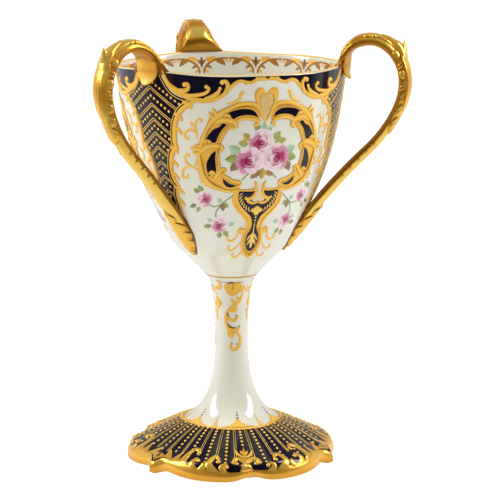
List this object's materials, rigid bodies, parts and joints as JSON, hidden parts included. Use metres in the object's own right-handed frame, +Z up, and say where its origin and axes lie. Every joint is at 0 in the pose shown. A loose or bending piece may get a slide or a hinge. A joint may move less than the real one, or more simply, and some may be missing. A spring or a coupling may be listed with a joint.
{
  "type": "loving cup",
  "caption": "Porcelain loving cup: tapered bowl with a wavy rim and gilt scroll handles, on a slender stem and a lobed foot, decorated in cobalt, gold and roses.",
  "frame": {"origin": "on the axis of the stem, in the plane of the flat ring on which the foot stands", "axes": "+Z up along the stem, -Y towards the front painted panel, handles at -30, 90 and 210 degrees from +X"},
  "size_m": [0.1554, 0.1432, 0.2104],
  "materials": {
    "porcelain": "clear glossy glaze over white porcelain",
    "cobalt_glaze": "glossy cobalt ground with gilt lines and dots",
    "gilding": "burnished gold over glazed porcelain",
    "fired_slip": "matt fired porcelain slip"
  },
  "bodies": {
    "root": {"bowl": "porcelain", "stem": "porcelain", "foot": "cobalt_glaze", "handle_right": "gilding", "handle_left": "gilding", "handle_back": "gilding", "stem_slip_joint": "fired_slip", "foot_slip_joint": "fired_slip", "rim_slip_joints": "fired_slip", "leaf_slip_joints": "fired_slip"}
  },
  "joints": []
}
